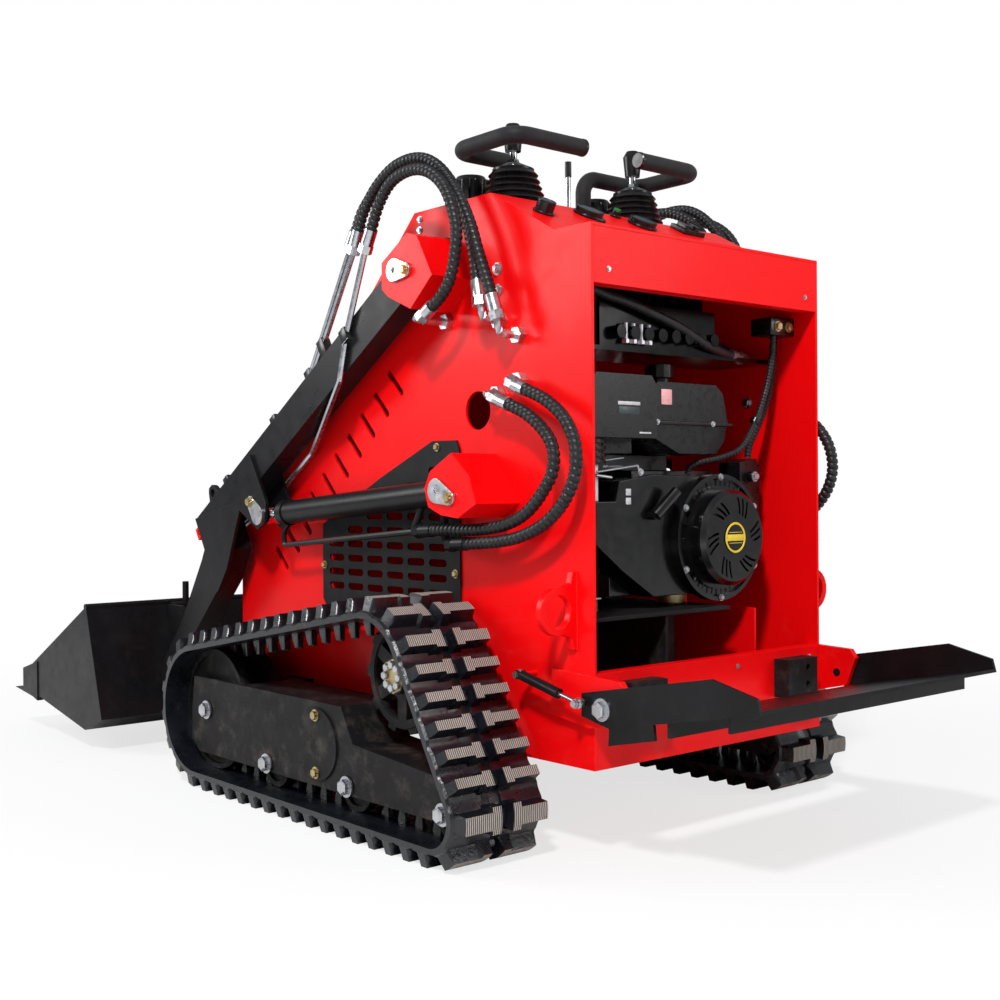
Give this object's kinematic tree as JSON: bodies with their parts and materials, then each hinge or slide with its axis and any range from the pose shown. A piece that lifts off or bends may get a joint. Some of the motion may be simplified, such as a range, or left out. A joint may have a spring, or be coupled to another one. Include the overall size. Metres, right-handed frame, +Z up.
{
  "type": "mini skid steer loader",
  "caption": "Stand-on tracked mini loader with a slab-sided red body, lift arms, tilting bucket, open rear engine bay and a folding operator platform.",
  "frame": {"origin": "ground level under the middle of the overall box", "axes": "+X towards the bucket, +Y to the machine's left, +Z up"},
  "size_m": [2.357, 1.05, 1.3183],
  "materials": {
    "red_paint": "gloss powder coat",
    "black_paint": "satin textured paint",
    "track_rubber": "worn grey lug faces",
    "engine_black": "gloss black",
    "black_plastic": "fine grain",
    "zinc_steel": "bright zinc plate",
    "cast_metal": "raw casting",
    "hard_chrome": "polished rod"
  },
  "bodies": {
    "chassis": {"side_plates": "red_paint", "hood_panel": "red_paint", "rear_panels": "red_paint", "floor_deck": "red_paint", "arm_towers": "red_paint", "cylinder_brackets": "red_paint", "pivot_pins": "zinc_steel", "tie_down_rings": "red_paint", "side_grilles": "black_paint", "stop_blocks": "black_paint", "track_frames": "black_paint", "drive_sprockets": "black_paint", "track_wheels": "black_paint", "rubber_track_left": "track_rubber", "rubber_track_right": "track_rubber", "engine_mount": "black_paint", "engine_block": "engine_black", "fan_housing": "engine_black", "fuel_tank": "engine_black", "air_filter": "black_plastic", "carburettor": "cast_metal", "ignition_panel": "black_plastic", "hydraulic_pump": "engine_black", "bay_cables": "track_rubber", "console_dials": "black_plastic", "filler_caps": "black_plastic", "drive_levers": "track_rubber", "hand_grips": "track_rubber", "hose_fittings": "zinc_steel", "upper_hoses": "track_rubber", "lower_hoses": "track_rubber"},
    "arms": {"arm_tubes": "black_paint", "arm_cross_tube": "black_paint", "arm_pins": "zinc_steel", "arm_pipes": "zinc_steel", "arm_couplers": "red_paint"},
    "lift_barrel": {"lift_barrels": "black_paint"},
    "lift_rod": {"lift_rods": "hard_chrome"},
    "tilt_barrel_body": {"tilt_barrel": "black_paint"},
    "tilt_rod_body": {"tilt_rod": "hard_chrome"},
    "tool": {"quick_hitch": "black_paint", "bucket": "black_paint"},
    "step": {"platform": "black_paint"},
    "spring_barrel": {"spring_barrels": "black_paint"},
    "spring_rod": {"spring_rods": "zinc_steel"}
  },
  "joints": [
    {"name": "lift_hinge", "type": "hinge", "parent": "chassis", "child": "arms", "pos_m": [-0.4025, 0, 1.031], "axis": [0, -1, 0], "range_deg": [-2, 80], "deforming": ["upper_hoses", "lower_hoses"]},
    {"name": "lift_barrel_hinge", "type": "hinge", "parent": "chassis", "child": "lift_barrel", "pos_m": [-0.5335, 0, 0.625], "axis": [0, -1, 0], "range_deg": [-1.59, 55.67]},
    {"name": "lift_rod_slide", "type": "slide", "parent": "lift_barrel", "child": "lift_rod", "axis": [0.9972, 0, -0.0748], "range_m": [-0.0111, 0.422]},
    {"name": "tilt_hinge", "type": "hinge", "parent": "arms", "child": "tool", "pos_m": [0.5515, 0, 0.19], "axis": [0, -1, 0], "range_deg": [-118, 8]},
    {"name": "tilt_barrel_hinge", "type": "hinge", "parent": "arms", "child": "tilt_barrel_body", "pos_m": [0.3895, 0, 0.7], "axis": [0, -1, 0], "range_deg": [-1.07, 0.26]},
    {"name": "tilt_rod_slide", "type": "slide", "parent": "tilt_barrel_body", "child": "tilt_rod_body", "axis": [0.4404, 0, -0.8978], "range_m": [-0.0173, 0.2475]},
    {"name": "platform_hinge", "type": "hinge", "parent": "chassis", "child": "step", "pos_m": [-0.8595, 0, 0.269], "axis": [0, 1, 0], "range_deg": [0, 85]},
    {"name": "spring_hinge", "type": "hinge", "parent": "chassis", "child": "spring_barrel", "pos_m": [-0.6775, 0, 0.31], "axis": [0, 1, 0], "range_deg": [-12.09, 0.2]},
    {"name": "spring_slide", "type": "slide", "parent": "spring_barrel", "child": "spring_rod", "axis": [-0.9744, 0, -0.2249], "range_m": [-0.0005, 0.0419]}
  ],
  "couplings": [
    {"joint": "lift_barrel_hinge", "follows": "lift_hinge", "ratio": 0.6934},
    {"joint": "lift_rod_slide", "follows": "lift_hinge", "m_per_rad": 0.30185},
    {"joint": "tilt_barrel_hinge", "follows": "tilt_hinge", "ratio": 0.00734},
    {"joint": "tilt_rod_slide", "follows": "tilt_hinge", "m_per_rad": -0.11991},
    {"joint": "spring_hinge", "follows": "platform_hinge", "ratio": -0.1399},
    {"joint": "spring_slide", "follows": "platform_hinge", "m_per_rad": 0.02787}
  ]
}
